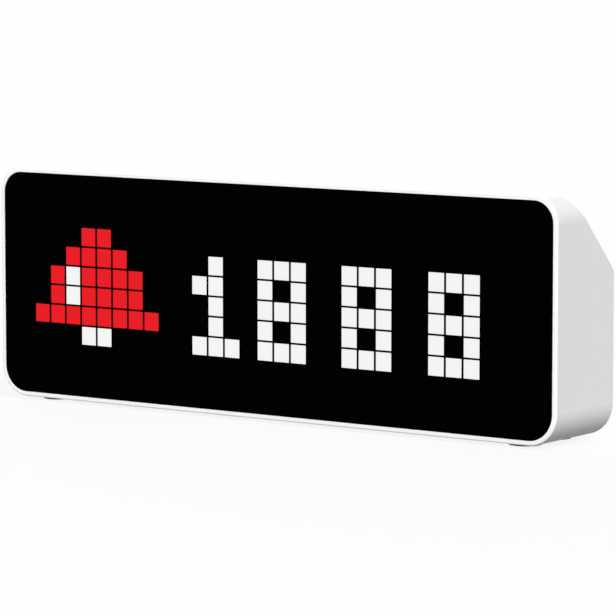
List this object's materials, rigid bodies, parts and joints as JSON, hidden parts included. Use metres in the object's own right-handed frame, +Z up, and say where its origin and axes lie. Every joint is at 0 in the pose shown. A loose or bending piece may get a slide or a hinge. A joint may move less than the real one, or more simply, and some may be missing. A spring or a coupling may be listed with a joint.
{
  "type": "pixel clock",
  "caption": "Desk clock with a wide black display of square light cells in a white housing, a sloped back with push keys and a charge port at the rear.",
  "frame": {"origin": "on the table under the middle of the body, level with the feet's undersides", "axes": "+X to the right seen from the front, +Y to the back, +Z up"},
  "size_m": [0.2004, 0.031, 0.0712],
  "materials": {
    "housing_white": "fine satin moulded white",
    "lens_black": "smoked, nearly black",
    "tape_black": "matte adhesive frame",
    "diffuser_milk": "milky sheet",
    "grid_black": "matte moulded",
    "board_black": "black solder mask",
    "board_green": "green solder mask",
    "package_white": "white package with clear filling",
    "chip_black": "moulded package",
    "screw_steel": "zinc-plated",
    "shell_steel": "drawn bright",
    "can_metal": "tinned shield can",
    "strip_nickel": "thin nickel strip",
    "cell_wrap": "shrink-wrapped blue",
    "lead_jacket": "soft insulation",
    "connector_cream": "moulded natural",
    "pad_foam": "dark foam",
    "ribbon_film": "thin film",
    "plunger_grey": "moulded",
    "key_white": "fine satin moulded white",
    "foot_rubber": "matte rubber",
    "lit_white": "light cell seen through the lens, lit white",
    "lit_red": "light cell seen through the lens, lit red",
    "key_ink": "grey marks printed on the keys"
  },
  "bodies": {
    "clock": {"housing": "housing_white", "front_lens": "lens_black", "lens_tape": "tape_black", "diffuser_sheet": "diffuser_milk", "light_grid": "grid_black", "matrix_board": "board_black", "light_packages": "package_white", "light_sensor": "chip_black", "grid_screws": "screw_steel", "link_header": "chip_black", "link_socket": "chip_black", "main_board": "board_green", "main_board_screws": "screw_steel", "radio_module": "can_metal", "charge_socket": "shell_steel", "charge_tongue": "chip_black", "buzzer": "chip_black", "temperature_sensor": "chip_black", "board_chips": "chip_black", "battery_cell_left": "cell_wrap", "battery_cell_right": "cell_wrap", "battery_tabs": "strip_nickel", "battery_leads": "lead_jacket", "battery_connector": "connector_cream", "battery_pads": "pad_foam", "key_board": "board_green", "key_board_screws": "screw_steel", "key_ribbon": "ribbon_film", "ribbon_connector": "connector_cream", "switch_bodies": "chip_black", "foot_front_left": "foot_rubber", "foot_front_right": "foot_rubber", "foot_rear_left": "foot_rubber", "foot_rear_right": "foot_rubber"},
    "left_key": {"button_left": "key_white", "switch_plunger_left": "plunger_grey"},
    "middle_key": {"button_middle": "key_white", "switch_plunger_middle": "plunger_grey"},
    "right_key": {"button_right": "key_white", "switch_plunger_right": "plunger_grey"}
  },
  "joints": [
    {"name": "left_key_press", "type": "slide", "parent": "clock", "child": "left_key", "axis": [0, -0.7071, -0.7071], "range_m": [0, 0.0004], "stiffness_N_per_m": 4000},
    {"name": "middle_key_press", "type": "slide", "parent": "clock", "child": "middle_key", "axis": [0, -0.7071, -0.7071], "range_m": [0, 0.0004], "stiffness_N_per_m": 4000},
    {"name": "right_key_press", "type": "slide", "parent": "clock", "child": "right_key", "axis": [0, -0.7071, -0.7071], "range_m": [0, 0.0004], "stiffness_N_per_m": 4000}
  ]
}
